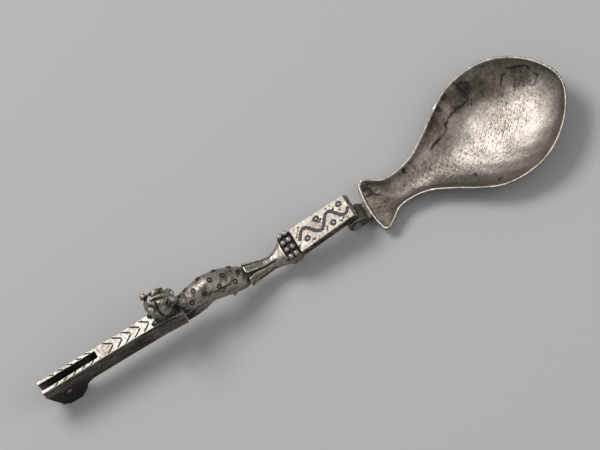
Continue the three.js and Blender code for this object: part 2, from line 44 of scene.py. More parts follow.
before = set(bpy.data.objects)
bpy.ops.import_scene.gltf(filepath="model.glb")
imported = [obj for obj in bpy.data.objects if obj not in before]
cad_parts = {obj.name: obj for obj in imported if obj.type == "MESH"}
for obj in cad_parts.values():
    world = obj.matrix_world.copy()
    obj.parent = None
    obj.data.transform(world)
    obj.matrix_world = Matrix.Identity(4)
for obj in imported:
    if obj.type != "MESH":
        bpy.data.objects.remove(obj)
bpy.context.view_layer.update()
MM = 0.001
HANDLE = "handle"
BOWL = "bowl"


def linear(hex_colour):
    """Turns an sRGB hex colour to the linear values that the shaders read."""
    values = [int(hex_colour[i : i + 2], 16) / 255 for i in (1, 3, 5)]
    return [v / 12.92 if v <= 0.04045 else ((v + 0.055) / 1.055) ** 2.4 for v in values] + [1]


def add_node(tree, kind, settings=None, inputs=None, links=None):
    """Adds one shader node, with its settings, its socket values and what feeds it."""
    node = tree.nodes.new(kind)
    for name, value in (settings or {}).items():
        setattr(node, name, value)
    for name, value in (inputs or {}).items():
        node.inputs[name].default_value = value
    for name, source in (links or {}).items():
        tree.links.new(source, node.inputs[name])
    return node


def colour_ramp(tree, source, stops):
    """A ramp from a grey value to colours, given as place and hex colour."""
    ramp = add_node(tree, "ShaderNodeValToRGB", links={"Fac": source})
    elements = ramp.color_ramp.elements
    while len(elements) < len(stops):
        elements.new(0.5)
    for element, (place, colour) in zip(elements, stops):
        element.position = place
        element.color = linear(colour)
    return ramp.outputs["Color"]


def noise(tree, place, grain_mm, detail=4, roughness=0.6):
    """Noise with grains about as wide as grain_mm, in metres as the model is."""
    inputs = {"Scale": 1 / (grain_mm * MM), "Detail": detail, "Roughness": roughness}
    return add_node(tree, "ShaderNodeTexNoise", inputs=inputs, links={"Vector": place}).outputs["Fac"]


# Grain of the finishes, in millimetres; the casting's grain is drawn coarser than life, so that it shows
CLOUD_WIDTH = 7
CASTING_GRAIN = 0.3
NIELLO_GRAIN = 0.35
PIT_RELIEF = 0.12
NIELLO_RELIEF = 0.08


class SpoonColours(bpy.types.PropertyGroup):
    bright: bpy.props.StringProperty(
        name="Bright silver", description="Colour where the silver is rubbed clean", default="#CFC9C1"
    )
    worn: bpy.props.StringProperty(
        name="Worn silver", description="Colour of the silver over most of the spoon", default="#A59D94"
    )
    # This colour, and the crust below it, also shows the painted shade on the sides of the block and bar and
    # under the beads and leopard, not only film.
    tarnish: bpy.props.StringProperty(
        name="Tarnish", description="Brown-grey film in hollows and on the sides", default="#655C53"
    )
    crust: bpy.props.StringProperty(
        name="Crust", description="Nearly black corrosion in cracks and corners", default="#26211E"
    )
    niello: bpy.props.StringProperty(
        name="Niello", description="Black inlay in the engraved channels", default="#191716"
    )
    half_rubbed: bpy.props.StringProperty(
        name="Rubbed niello", description="Niello where polishing has worn it grey", default="#3A3431"
    )
    card: bpy.props.StringProperty(
        name="Card", description="Colour of the card that the spoon lies on", default="#ABA9A7"
    )
    room: bpy.props.StringProperty(
        name="Room", description="Colour of the light that comes from all round", default="#D2D4D6"
    )


class SpoonSizes(bpy.types.PropertyGroup):
    bowl_wall: bpy.props.FloatProperty(
        name="Bowl wall", description="Thickness of the bowl, in millimetres", default=0.75, min=0.3
    )
    rim_round: bpy.props.FloatProperty(
        name="Rim rounding", description="Height of the rounded rim, in millimetres", default=0.3, min=0.05
    )
    crack_depth: bpy.props.FloatProperty(
        name="Crack depth", description="How deep the cracks sink, in millimetres", default=0.14, min=0
    )
    pit_size: bpy.props.FloatProperty(
        name="Pit size", description="Width of the corrosion pits, in millimetres", default=0.9, min=0.1
    )


def blend_in(tree, value, factor, offset):
    """Gives factor times value plus offset, where offset may be a number or another value."""
    links = {0: value}
    inputs = {1: factor}
    if isinstance(offset, (int, float)):
        inputs[2] = offset
    else:
        links[2] = offset
    return add_node(tree, "ShaderNodeMath", {"operation": "MULTIPLY_ADD"}, inputs, links).outputs[0]


def silver_material(name, tarnished, rough, pits=0.5):
    """Old cast silver, polished once and buried: soft gloss, brown-grey film in hollows, fine pits, and the
    painted shade that each piece stores with its stains.
    """
    colours = bpy.context.scene.spoon_colours
    pit_size = bpy.context.scene.spoon_sizes.pit_size
    material = bpy.data.materials.new(name)
    material.use_nodes = True
    tree = material.node_tree
    tree.nodes.clear()
    place = add_node(tree, "ShaderNodeTexCoord").outputs["Object"]
    clouds = noise(tree, place, CLOUD_WIDTH)
    speckle = noise(tree, place, pit_size, 8, 0.7)
    fine = noise(tree, place, CASTING_GRAIN, 4, 0.6)
    # The stored darkness holds real stains and painted shade alike.
    stain_and_shade = add_node(tree, "ShaderNodeAttribute", {"attribute_name": "stain_and_shade"}).outputs["Fac"]
    hollow = add_node(tree, "ShaderNodeNewGeometry").outputs["Pointiness"]
    film_and_shade = blend_in(tree, clouds, 0.5, tarnished - 0.37)
    film_and_shade = blend_in(tree, speckle, 0.6, film_and_shade)
    film_and_shade = blend_in(tree, fine, 0.2, film_and_shade)
    span = {"From Min": 0.44, "From Max": 0.56, "To Min": 0.3, "To Max": -0.25}
    edge = add_node(tree, "ShaderNodeMapRange", inputs=span, links={"Value": hollow}).outputs[0]
    film_and_shade = blend_in(tree, edge, 1.0, film_and_shade)
    film_and_shade = blend_in(tree, stain_and_shade, 1.0, film_and_shade)
    stops = [(0.25, colours.bright), (0.5, colours.worn), (0.8, colours.tarnish), (1.0, colours.crust)]
    base = colour_ramp(tree, film_and_shade, stops)
    span = {"To Min": rough - 0.08, "To Max": rough + 0.25}
    roughness = add_node(tree, "ShaderNodeMapRange", inputs=span, links={"Value": film_and_shade}).outputs[0]
    span = {"From Min": 0.7, "From Max": 1.1, "To Min": 1.0, "To Max": 0.55}
    metal = add_node(tree, "ShaderNodeMapRange", inputs=span, links={"Value": film_and_shade}).outputs[0]
    height = blend_in(tree, fine, 0.4, speckle)
    inputs = {"Strength": pits, "Distance": PIT_RELIEF * MM}
    bump = add_node(tree, "ShaderNodeBump", inputs=inputs, links={"Height": height}).outputs["Normal"]
    links = {"Base Color": base, "Roughness": roughness, "Normal": bump, "Metallic": metal}
    shader = add_node(tree, "ShaderNodeBsdfPrincipled", links=links)
    add_node(tree, "ShaderNodeOutputMaterial", links={"Surface": shader.outputs[0]})
    return material


def niello_material():
    """Niello, a black sulphide fused into channels: dull, slightly grainy, partly rubbed."""
    colours = bpy.context.scene.spoon_colours
    material = bpy.data.materials.new("niello_rubbed")
    material.use_nodes = True
    tree = material.node_tree
    tree.nodes.clear()
    place = add_node(tree, "ShaderNodeTexCoord").outputs["Object"]
    grain = noise(tree, place, NIELLO_GRAIN, 6)
    base = colour_ramp(tree, grain, [(0.35, colours.niello), (0.75, colours.half_rubbed)])
    relief = {"Strength": 0.4, "Distance": NIELLO_RELIEF * MM}
    bump = add_node(tree, "ShaderNodeBump", inputs=relief, links={"Height": grain}).outputs["Normal"]
    inputs = {"Metallic": 0.3, "Roughness": 0.5}
    links = {"Base Color": base, "Normal": bump}
    shader = add_node(tree, "ShaderNodeBsdfPrincipled", inputs=inputs, links=links)
    add_node(tree, "ShaderNodeOutputMaterial", links={"Surface": shader.outputs[0]})
    return material


def dress(node, material):
    """Gives a carried-over node its finish."""
    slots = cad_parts[node].material_slots
    for slot in slots:
        slot.material = material


def smooth_curve(points, per_segment):
    """A centripetal Catmull-Rom curve through the points, with per_segment steps between two of them."""
    given = [np.array(p, float) for p in points]
    ends = [2 * given[0] - given[1], *given, 2 * given[-1] - given[-2]]
    made = []
    for i in range(len(given) - 1):
        a, b, c, d = ends[i : i + 4]
        t0, t1, t2 = (max(np.linalg.norm(q - p) ** 0.5, 1e-4) for p, q in ((a, b), (b, c), (c, d)))
        m1 = ((b - a) / t0 - (c - a) / (t0 + t1) + (c - b) / t1) * t1
        m2 = ((c - b) / t1 - (d - b) / (t1 + t2) + (d - c) / t2) * t1
        for t in np.arange(per_segment) / per_segment:
            first = 2 * b - 2 * c + m1 + m2
            second = -3 * b + 3 * c - 2 * m1 - m2
            made.append(first * t**3 + second * t**2 + m1 * t + b)
    made.append(given[-1])
    return np.array(made)


def add_mesh(name, points_mm, faces, body, replaced, material):
    """Adds a mesh given in millimetres, rides it on its body and puts it in place of its CAD nodes."""
    mesh = bpy.data.meshes.new(name)
    mesh.from_pydata([tuple(p * MM) for p in np.asarray(points_mm, float)], [], faces)
    mesh.validate()
    mesh.materials.append(material)
    mesh.polygons.foreach_set("use_smooth", [True] * len(mesh.polygons))
    piece = bpy.data.objects.new(name, mesh)
    bpy.context.scene.collection.objects.link(piece)
    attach(piece, body)
    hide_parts(*replaced)
    return piece


def set_stain_and_shade(piece, values):
    """Stores how dark each vertex is, from stains and from painted shade: 1 is crusted, and below 0 is rubbed
    bright.
    """
    layer = piece.data.attributes.new("stain_and_shade", "FLOAT", "POINT")
    layer.data.foreach_set("value", np.asarray(values, float))


def distance_to_line(points, line):
    """The distance of each point to a polyline."""
    best = np.full(len(points), 1e9)
    for a, b in zip(line[:-1], line[1:]):
        a, b = np.array(a, float), np.array(b, float)
        along = np.clip(((points - a) @ (b - a)) / max((b - a) @ (b - a), 1e-12), 0, 1)
        best = np.minimum(best, np.linalg.norm(points - (a + along[:, None] * (b - a)), axis=1))
    return best


def ripple(points, pitch, seed=0):
    """A gentle uneven wave over the points, from about -1 to 1, with waves about pitch wide."""
    total = np.zeros(len(points))
    for k in range(5):
        side, up = 1.3 * seed + 1.7 * k, 0.7 * seed + 3.3 * k
        turn = np.array([math.sin(seed + 2.1 * k), math.cos(side), math.sin(up)])
        total += np.sin(points @ turn * (2 * math.pi / pitch) * (0.7 + 0.25 * k) + 1.9 * k + seed)
    return total / 2.6


# Bowl, in millimetres
BOWL_REACH = 5.5  # from the pin to the rear edge
BOWL_LENGTH = 61.0
BOWL_HALF = 18.5
BOWL_DEPTH = 7.0
WAIST_HALF = 4.9
FISHTAIL_HALF = 8.6
WAIST_DEPTH = 3.0
REAR_DEPTH = 1.8
REAR_BOW = 1.0
RIM_LEVEL = -0.4  # from the pin, square to the block
FRONT_RISE = math.radians(6)
POINTS_ACROSS = 150
POINTS_ALONG = 16  # between two points of the outline
CRACK_WIDTH = 0.17
PIT_DEPTH = 0.09
DENT_DEPTH = 0.07
# The most that the soft stains and the painted shade of the inside may add up to.
EVEN_STAIN_AND_SHADE_MOST = 0.42
# How much darker the bowl's back is drawn than clean silver.
BACK_DARKER = 0.12
RUBBED_RIM = -0.12

# Cracks and the pitted band, as places along and across the whole spoon
CRACKS = [
    [(40.7, 6.3), (45.4, 7.6), (47.5, 9.7), (49.3, 11.2), (52.0, 12.0), (55.9, 12.5)],
    [(55.1, 17.4), (55.8, 14.4), (56.5, 11.4)],
    [(64.6, 8.6), (65.7, 11.5), (67.8, 12.6)],
    [(68.6, 13.3), (73.1, 10.2), (74.9, 6.0), (72.5, 5.0)],
    [(20.2, 6.6), (21.4, 4.0), (22.9, 2.4)],
]
PITTED_BAND = [(36.0, -1.0), (46.0, -2.5), (58.0, -1.5), (68.0, 4.5)]
PITTED_HALF_WIDTH = 6.5

# Stains, and a painted shadow in the fishtail's far corner: place along, place across, radius and darkness
STAINS_AND_SHADOWS = [
    (54.0, 14.0, 3.6, 0.13), (45.5, 11.5, 2.4, 0.1), (62.0, 9.0, 4.5, 0.06), (23.0, -1.0, 3.5, 0.06),
    (57.0, 15.4, 1.5, 0.3), (50.6, 15.6, 0.9, 0.25), (48.0, 13.6, 0.8, 0.25), (31.7, 4.0, 0.5, 0.6),
    # The two spots on the next line at 20.6 and 21.0 along are the painted shadow under the lip in the
    # fishtail's far corner.
    (47.2, -7.0, 0.5, 0.5), (52.2, -13.3, 0.6, 0.5), (20.6, 6.8, 1.3, 0.8), (21.0, 4.4, 0.9, 0.6),
    (60.0, 13.5, 2.2, 0.1), (44.0, 8.0, 2.5, 0.08), (70.5, 8.5, 2.5, 0.12), (25.0, 0.0, 5.0, 0.05),
]


def pin_centre():
    """The middle of the hinge pin, in millimetres."""
    low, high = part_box("hinge_pin")
    return (np.array(low) + np.array(high)) / 2 / MM


def from_front(points):
    """Takes points from the sloping front end, measured from the pin, to the whole spoon."""
    x, y, z = np.asarray(points, float).T
    centre = pin_centre()
    cos, sin = math.cos(FRONT_RISE), math.sin(FRONT_RISE)
    return np.stack([x * cos - z * sin, y, x * sin + z * cos], axis=1) + centre


def bowl_outline():
    """Half the bowl's outline: place from the rear edge, and half width."""
    points = [
        (0, FISHTAIL_HALF * 0.92), (1.4, FISHTAIL_HALF), (3.9, FISHTAIL_HALF * 0.84),
        (6.6, WAIST_HALF * 1.08), (9.6, WAIST_HALF),
        (15.3, BOWL_HALF * 0.325), (21.6, BOWL_HALF * 0.532), (27.4, BOWL_HALF * 0.762),
        (33.2, BOWL_HALF * 0.94), (40.2, BOWL_HALF), (46.7, BOWL_HALF * 0.946),
        (52.7, BOWL_HALF * 0.762), (57.6, BOWL_HALF * 0.48), (60.3, BOWL_HALF * 0.2),
        (BOWL_LENGTH, 0), (60.3, -BOWL_HALF * 0.2),
    ]
    return smooth_curve(points, POINTS_ALONG)[: (len(points) - 2) * POINTS_ALONG + 1]


def bowl_depth(station):
    """The bowl's depth at a place from its rear edge."""
    share = station / BOWL_LENGTH
    rise = np.minimum(share / 0.6, 1)
    rear = REAR_DEPTH + (WAIST_DEPTH - REAR_DEPTH) * np.minimum(share / 0.157, 1)
    full = rear + (BOWL_DEPTH - rear) * rise * rise * (3 - 2 * rise)
    tip = np.clip((share - 0.6) / 0.4, 0, 1)
    return full * (1 - tip**2.5) ** 0.6


def bowl_surface(inset):
    """Rows of points over the bowl's back, moved in by inset, the first row lying at the rim."""
    outline = bowl_outline()
    along = np.gradient(outline, axis=0)
    along /= np.linalg.norm(along, axis=1)[:, None]
    station = outline[:, 0] + along[:, 1] * inset
    half = np.maximum(outline[:, 1] - along[:, 0] * inset, 0.02)
    station += (inset - station[0]) * np.maximum(0, 1 - outline[:, 0] / 4) if inset else 0
    depth = np.maximum(bowl_depth(np.clip(station, 0, BOWL_LENGTH)) - inset, 0.02)
    share = np.sin(np.linspace(-math.pi / 2, math.pi / 2, POINTS_ACROSS + 1))
    bow = REAR_BOW * np.maximum(0, 1 - station / (BOWL_LENGTH * 0.157)) ** 2
    x = station[:, None] - bow[:, None] * (1 - share**2)
    y = half[:, None] * share
    z = -depth[:, None] * (1 - np.abs(share) ** 2.3) ** 0.72
    rows = np.stack([x, y, z], axis=2)
    top = rows[:1].copy()
    top[..., 2] = 0
    return np.concatenate([top, rows])


def grid_faces(rows, columns, first, flip):
    """The faces of a grid of points that starts at the point first."""
    faces = []
    for i in range(rows - 1):
        for j in range(columns - 1):
            a = first + i * columns + j
            face = (a, a + 1, a + columns + 1, a + columns)
            faces.append(face[::-1] if flip else face)
    return faces


def bowl_marks(points):
    """How cracked, how dark from stains and painted shade, and how pitted each point of the inside is."""
    flat = points[:, :2]
    crack = np.zeros(len(points))
    for line in CRACKS:
        wander = np.stack([ripple(points, 3.1, 1), ripple(points, 2.3, 4)], axis=1) * 0.25
        away = distance_to_line(flat + wander, line)
        crack = np.maximum(crack, np.exp(-((away / CRACK_WIDTH) ** 2)))
    crack *= np.clip(0.75 + 0.5 * ripple(points, 4.3, 8), 0.25, 1)
    # Painted shade: the inside darkens towards the far side, towards the rear and on the walls away from the
    # middle, which stays lighter where the highlight falls.
    stain_and_shade = 0.13 * np.clip((flat[:, 1] - 3) / 9, 0, 1) + 0.1 * np.clip((31 - flat[:, 0]) / 8, 0, 1)
    stain_and_shade += 0.1 * np.clip((np.hypot(flat[:, 0] - 59, flat[:, 1] * 1.15) - 11) / 6, 0, 1)
    for x, y, radius, depth in STAINS_AND_SHADOWS:
        away = np.linalg.norm(flat - (x, y), axis=1) + 0.35 * radius * ripple(points, radius * 1.6, x)
        stain_and_shade += depth * np.exp(-((np.maximum(away, 0) / radius) ** 4))
    band = np.exp(-((distance_to_line(flat, PITTED_BAND) / PITTED_HALF_WIDTH) ** 4))
    grit = ripple(points, 1.15, 2) + ripple(points, 0.8, 5) * 0.7 + 0.3 * ripple(points, 2.9, 7)
    pit = np.clip((grit - 0.45) * 1.8, 0, 1) * band
    return crack, np.minimum(stain_and_shade, EVEN_STAIN_AND_SHADE_MOST) + 0.75 * crack + 0.3 * pit, pit


def make_bowl(material):
    """The dished bowl: a smooth back, a marked inside and a rounded rim."""
    sizes = bpy.context.scene.spoon_sizes
    outer, inner = bowl_surface(0), bowl_surface(sizes.bowl_wall)
    rows, columns = outer.shape[:2]
    for skin in (outer, inner):
        skin[..., 2] -= sizes.rim_round * np.exp(skin[..., 2] / sizes.rim_round)
    points = np.concatenate([outer.reshape(-1, 3), inner.reshape(-1, 3)])
    points = from_front(points + (BOWL_REACH, 0, RIM_LEVEL))
    count = rows * columns
    inside = np.arange(len(points)) >= count
    crack, stain_and_shade, pit = bowl_marks(points)
    depth = np.concatenate([-outer[..., 2].ravel(), -inner[..., 2].ravel()])
    below_rim = np.clip(depth / 1.2, 0, 1)
    points[:, 2] += DENT_DEPTH * ripple(points, 9, 2) * below_rim * inside
    points[:, 2] -= (sizes.crack_depth * crack + PIT_DEPTH * pit) * inside * below_rim
    faces = grid_faces(rows, columns, 0, True) + grid_faces(rows, columns, count, False)
    loop = [i * columns for i in range(rows)][::-1] + list(range(1, columns - 1))
    loop += [i * columns + columns - 1 for i in range(rows)]
    points, faces = round_rim(points, faces, loop, count)
    rim = np.full(len(points) - 2 * count, RUBBED_RIM)
    stain_and_shade = np.concatenate([stain_and_shade * inside + BACK_DARKER * (~inside), rim])
    bowl = add_mesh("bowl_dished", points, faces, BOWL, ["bowl"], material)
    set_stain_and_shade(bowl, np.clip(stain_and_shade, -0.2, 1))
    return bowl


def round_rim(points, faces, loop, count):
    """Joins the two skins of the bowl over a rounded rim."""
    steps = 6
    rim_round = bpy.context.scene.spoon_sizes.rim_round
    outer = points[loop]
    inner = points[[i + count for i in loop]]
    centre, reach = (outer + inner) / 2, (outer - inner) / 2
    rings = [loop]
    for k in range(1, steps):
        turn = math.pi * k / steps
        first = len(points)
        ring = centre + reach * math.cos(turn) + (0, 0, rim_round * math.sin(turn))
        points = np.concatenate([points, ring])
        rings.append(list(range(first, first + len(loop))))
    rings.append([i + count for i in loop])
    for one, two in zip(rings[:-1], rings[1:]):
        for j in range(len(loop) - 1):
            faces.append((one[j], one[j + 1], two[j + 1], two[j]))
    return points, faces


def apply_modifiers(piece):
    """Replaces a piece's mesh with what its modifiers make of it."""
    bpy.context.view_layer.update()
    evaluated = piece.evaluated_get(bpy.context.evaluated_depsgraph_get())
    made = bpy.data.meshes.new_from_object(evaluated)
    piece.modifiers.clear()
    piece.data = made


def ball(centre, radii, pitch=0.0, turns=18):
    """A ball, egg or bead as points and faces, tipped about the line across the spoon."""
    points = []
    faces = []
    tip = Matrix.Rotation(pitch, 3, "Y")
    for i in range(turns // 2 + 1):
        polar = math.pi * i / (turns // 2)
        for j in range(turns):
            around = 2 * math.pi * j / turns
            ring = math.sin(polar) or 1e-3
            local = Vector((radii[0] * ring * math.cos(around), radii[1] * ring * math.sin(around), 0))
            local.z = radii[2] * math.cos(polar)
            points.append(tuple(tip @ local + Vector(centre)))
    for i in range(turns // 2):
        for j in range(turns):
            k = (j + 1) % turns
            faces.append((i * turns + j, (i + 1) * turns + j, (i + 1) * turns + k, i * turns + k))
    faces += [tuple(range(turns)), tuple(range(len(points) - turns, len(points)))[::-1]]
    return points, faces


def tube(rows, around=72):
    """A closed tube through rows of x, centre height, half width, half height and squareness."""
    rows = smooth_curve(rows, 10)
    turns = np.linspace(0, 2 * math.pi, around, endpoint=False)
    points = []
    for x, height, wide, tall, square in rows:
        side, up = np.sin(turns), np.cos(turns)
        points += list(zip(
            np.full(around, x),
            wide * np.sign(side) * np.abs(side) ** (2 / square),
            height + tall * np.sign(up) * np.abs(up) ** (2 / square),
        ))
    faces = [tuple(range(around))[::-1], tuple(range(len(points) - around, len(points)))]
    for i in range(len(rows) - 1):
        for j in range(around):
            k = (j + 1) % around
            faces.append((i * around + j, i * around + k, (i + 1) * around + k, (i + 1) * around + j))
    return points, faces


def cad_solid(node):
    """A CAD node's points and faces in millimetres."""
    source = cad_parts[node].data
    points = [tuple(v.co / MM) for v in source.vertices]
    return points, [tuple(f.vertices) for f in source.polygons]


def worn_copy(node, body, material, grain=0.13, rounds=3, shape=None, solids=None):
    """A fine casting in place of a CAD node: its solids run together, their edges worn smooth."""
    points, faces = [], []
    for solid_points, solid_faces in solids or [cad_solid(node)]:
        first = len(points)
        points += [tuple(p) for p in solid_points]
        faces += [tuple(first + i for i in face) for face in solid_faces]
    mesh = bpy.data.meshes.new(node + "_worn")
    mesh.from_pydata(points, [], faces)
    piece = bpy.data.objects.new(node + "_worn", mesh)
    bpy.context.scene.collection.objects.link(piece)
    remesh = piece.modifiers.new("fine", "REMESH")
    remesh.mode = "VOXEL"
    remesh.voxel_size = grain
    remesh.use_smooth_shade = True
    soften = piece.modifiers.new("worn", "SMOOTH")
    soften.factor = 0.5
    soften.iterations = rounds
    apply_modifiers(piece)
    finish_copy(piece, material, shape)
    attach(piece, body)
    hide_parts(node)
    return piece


def finish_copy(piece, material, shape):
    """Moves the copied points by its shape function, gives the stains and painted shade, and turns
    millimetres to metres.
    """
    mesh = piece.data
    count = len(mesh.vertices)
    points = np.empty(count * 3)
    normals = np.empty(count * 3)
    mesh.vertices.foreach_get("co", points)
    mesh.vertex_normals.foreach_get("vector", normals)
    points, normals = points.reshape(-1, 3), normals.reshape(-1, 3)
    push, stain_and_shade = shape(points, normals) if shape else (np.zeros(count), np.zeros(count))
    push = push + 0.02 * ripple(points, 1.7, 3)
    points = (points + normals * push[:, None]) * MM
    mesh.vertices.foreach_set("co", points.ravel())
    mesh.materials.clear()
    mesh.materials.append(material)
    mesh.polygons.foreach_set("use_smooth", [True] * len(mesh.polygons))
    set_stain_and_shade(piece, np.clip(stain_and_shade, 0, 1))
    mesh.update()


def carve(points, lines, width, depth):
    """Grooves along lines: how far each point sinks, and how dark it gets."""
    sink = np.zeros(len(points))
    for line in lines:
        sink = np.maximum(sink, np.exp(-((distance_to_line(points, line) / width) ** 2)))
    return -depth * sink, sink


# Handle, in millimetres along the whole spoon from its middle, and up from the floor
BAR_FRONT = -37.15
BAR_TOP = 12.0
HEAD = (-41.45, 18.5)
FACE = HEAD[0] + 3.36
WAIST = -10.45
PETALS = 6
BODY_SINK = 0.13  # lets the spots stand clear of the skin
TEATS = (-31.45, -23.05)
TEAT_ANGLE = 128

# Leopard and calyx: place along, height of the middle and radius
BODY_ROWS = [
    (BAR_FRONT, 9.05, 3.02), (-34.6, 9.95, 3.3), (-30.95, 10.9, 3.9), (-27.85, 11.2, 4.0),
    (-23.05, 9.3, 4.08), (-19.15, 7.2, 3.4), (-17.05, 6.3, 2.31), (-14.85, 5.8, 1.7), (-13.05, 5.4, 1.09),
]
CALYX_ROWS = [
    (-17.65, 6.4, 3.3), (-15.27, 5.9, 2.77), (-12.61, 5.3, 2.2), (WAIST, 5.2, 1.95), (-8.0, 5.1, 2.1),
]


def body_at(x):
    """The leopard's centre height and radius at a place along it."""
    rows = np.array(BODY_ROWS)
    return np.interp(x, rows[:, 0], rows[:, 1]), np.interp(x, rows[:, 0], rows[:, 2])


def on_body(x, angle, lift=0.0):
    """A point on the leopard's skin, angle in degrees from the top towards the near side."""
    height, radius = body_at(x)
    turn = math.radians(angle)
    return x, -(radius + lift) * math.sin(turn), height + (radius + lift) * math.cos(turn)


def leopard_body_solids():
    """The trunk, the flank that the bar runs into, the teats and the nape."""
    rows = [
        (x, height, 0.97 * radius, radius, 2 + 2.5 * max(0, 1 - (x - BAR_FRONT) / 5))
        for x, height, radius in BODY_ROWS
    ]
    places = [on_body(x, side * TEAT_ANGLE, 0.05) for x in TEATS for side in (-1, 1)]
    teats = [ball(place, (0.62, 0.55, 0.75)) for place in places]
    nape = ball((BAR_FRONT + 0.9, 0, 12.6), (2.4, 2.1, 1.9), 0.3)
    flank = [
        (BAR_FRONT, 8.98, 2.98, 2.98, 6), (-34.5, 8.7, 3.05, 2.6, 6), (-31.5, 8.4, 3.0, 1.9, 4),
        (-28.5, 8.2, 2.4, 1.1, 3),
    ]
    return [tube(rows), tube(flank), *teats, nape]


def leopard_body_shape(points, normals):
    """Scratches and patches, with painted shade on the belly and on the nape under the head, and a painted
    shadow where the trunk runs into the calyx.
    """
    scratches = [
        [on_body(-27.6, 58), on_body(-25.2, 50), on_body(-22.6, 47)],
        [on_body(-35.5, 84), on_body(-33.0, 80), on_body(-30.2, 84)],
        [on_body(-22.5, -20), on_body(-20.8, -8)],
    ]
    push, dark = carve(points, scratches, 0.16, 0.1)
    height, radius = body_at(points[:, 0])
    # Painted shade below the trunk's middle and at the nape, which also deepens the patches there, and a
    # painted shadow where the trunk enters the calyx.
    low = np.clip((height - points[:, 2]) / radius, 0, 1)
    neck_shade = np.clip((-33.6 - points[:, 0]) / 2.4, 0, 1)
    tail_shadow = np.clip((points[:, 0] + 19.5) / 3, 0, 1)
    patches = np.clip(ripple(points, 4.2, 6), 0, 1)
    stain_and_shade = 0.8 * dark + 0.2 * low + 0.22 * neck_shade + 0.45 * tail_shadow + (0.2 + 0.35 * neck_shade) * patches
    return push - BODY_SINK, stain_and_shade


def ring_points(centre, outward, radius, squash=1.0, count=14):
    """A closed ring of points about a direction, squashed up and down."""
    outward = Vector(outward).normalized()
    across = outward.cross(Vector((0, 0, 1))).normalized()
    up = across.cross(outward)
    ring = []
    for i in range(count + 1):
        turn = 2 * math.pi * i / count
        ring.append(tuple(Vector(centre) + radius * (math.cos(turn) * across + squash * math.sin(turn) * up)))
    return ring


def leopard_head_solids():
    """The head, with its ears, muzzle, brows, eyes, cheeks, paws, nose and forehead."""
    x, z = HEAD
    solids = [cad_solid("leopard_head")]
    for side in (-1, 1):
        solids += [
            ball((x - 2.5, side * 2.35, z + 2.2), (1.05, 1.0, 1.1)),
            ball((FACE + 0.1, side * 1.2, z - 0.7), (1.4, 1.35, 1.3)),
            ball((x + 1.2, side * 1.75, z + 2.35), (1.6, 0.75, 0.65), 0.35),
            ball((x + 2.3, side * 2.25, z + 1.15), (0.8, 0.62, 0.6)),
            ball((x + 0.6, side * 2.75, z - 1.3), (1.7, 0.9, 1.5)),
            ball((x - 2.9, side * 1.45, BAR_TOP + 0.35), (1.7, 0.85, 0.7)),
        ]
    nose = ball((FACE + 0.9, 0, z + 0.35), (0.75, 0.75, 0.6))
    brow = ball((x + 0.2, 0, z + 2.9), (1.9, 0.55, 0.6), 0.25)
    return [*solids, nose, brow]


def mirrored(side, *places):
    """A line on one side of the head: 1 is the far side and -1 the near side."""
    return [(x, side * y, z) for x, y, z in places]


def leopard_head_shape(points, normals):
    """Grooves round eyes and ears, along the brows, mouth and whiskers, and behind the jaw, with painted
    shade below the head and on faces that turn down.
    """
    x, z = HEAD
    lines = [[(FACE + 1.5, 0, z - 0.2), (FACE + 1.5, 0, z - 1.5)]]
    for side in (-1, 1):
        lines += [
            ring_points((x + 2.5, side * 2.45, z + 1.3), (0.6, side * 0.62, 0.5), 0.9, 0.8),
            ring_points((x - 2.3, side * 2.15, z + 2.0), (-0.5, side * 0.5, 0.6), 1.05),
            mirrored(side, (x - 0.8, 0.75, z + 3.4), (x + 1.2, 0.85, z + 3.1), (x + 2.9, 0.75, z + 2.1)),
            mirrored(side, (FACE - 1.2, 2.5, z - 1.6), (FACE + 0.5, 1.9, z - 1.9), (FACE + 1.2, 0, z - 1.7)),
            mirrored(side, (FACE + 0.2, 2.4, z - 0.4), (FACE - 1.1, 2.7, z - 0.1)),
            mirrored(side, (x - 0.6, 1.2, z + 3.3), (x - 0.9, 2.6, z + 2.0), (x - 0.8, 3.5, z - 0.5)),
            mirrored(side, (x - 0.8, 3.5, z - 0.5), (x - 0.4, 3.2, z - 2.4), (x + 0.5, 2.0, z - 3.6)),
        ]
    push, dark = carve(points, lines, 0.3, 0.3)
    eye = np.zeros(len(points))
    for side in (-1, 1):
        away = np.linalg.norm(points - (x + 2.8, side * 2.75, z + 1.45), axis=1)
        eye = np.maximum(eye, np.exp(-((away / 0.42) ** 2)))
    # Painted shade: darker below the head's middle and on faces that turn down.
    neck_shade = np.clip((z - 1.8 - points[:, 2]) / 3, 0, 1)
    under = np.clip(-normals[:, 2], 0, 1)
    patches = np.clip(ripple(points, 2.4, 9), 0, 1)
    return push - 0.12 * eye, 0.9 * dark + 0.8 * eye + 0.3 * neck_shade + 0.25 * under + 0.25 * patches


def calyx_line(turn, rows, share=1.0):
    """A line along the calyx at an angle from its top."""
    return [(x, share * r * math.sin(turn), height + share * r * math.cos(turn)) for x, height, r in rows]


def calyx_shape(points, normals):
    """Dark gaps between the petals, a faint vein along each and tips that curl out, with painted shade low
    down and towards the back where the trunk runs in.
    """
    petal = 2 * math.pi / PETALS
    gaps = [calyx_line((k + 0.5) * petal, CALYX_ROWS) for k in range(PETALS)]
    veins = [calyx_line(k * petal, CALYX_ROWS[:3], 0.98) for k in range(PETALS)]
    push, dark = carve(points, gaps, 0.24, 0.2)
    vein, faint = carve(points, veins, 0.14, 0.05)
    # Painted shade: darker towards the back, where the trunk runs in, and low down.
    behind = np.clip((-11.5 - points[:, 0]) / 3, 0, 1)
    low = np.clip((5.0 - points[:, 2]) / 3, 0, 1)
    curl = np.clip((-15.4 - points[:, 0]) / 2.3, 0, 1) ** 2
    return push + vein + 0.25 * curl, 0.9 * dark + 0.15 * faint + 0.05 * behind + 0.25 * low


